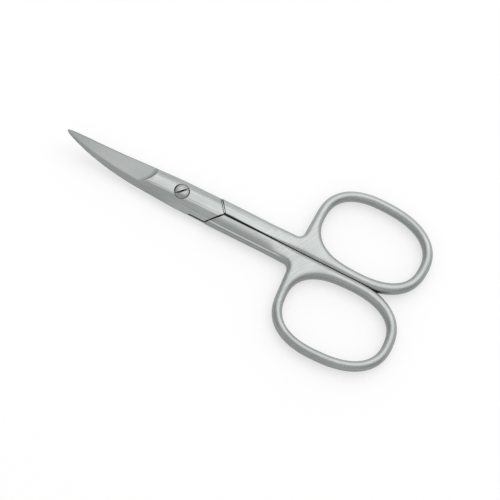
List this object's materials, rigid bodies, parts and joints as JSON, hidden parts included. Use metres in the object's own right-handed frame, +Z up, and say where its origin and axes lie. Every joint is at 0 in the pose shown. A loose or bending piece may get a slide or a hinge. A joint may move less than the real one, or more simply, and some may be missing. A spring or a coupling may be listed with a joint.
{
  "type": "cuticle scissors",
  "caption": "Small steel scissors with curved pointed blades, chevron lap joint, slotted pivot screw and oval finger rings; opens and shuts about the screw.",
  "frame": {"origin": "middle of the overall length and width with the scissors shut, on the plane of the flat they rest on", "axes": "+X along the scissors from the rings to the tips, +Y from the upper half's ring to the lower half's ring, +Z up, the way the tips curve"},
  "size_m": [0.0884, 0.0426, 0.007],
  "materials": {
    "upper_steel": "satin, finely brushed",
    "lower_steel": "satin, finely brushed",
    "screw_steel": "turned and polished"
  },
  "bodies": {
    "lower": {"lower_half": "lower_steel", "pivot_screw": "screw_steel"},
    "upper": {"upper_half": "upper_steel"}
  },
  "joints": [
    {"name": "blade_hinge", "type": "hinge", "parent": "lower", "child": "upper", "pos_m": [0.01487, -0.00035, 0.00175], "axis": [0, 0, 1], "range_deg": [0, 120]}
  ]
}
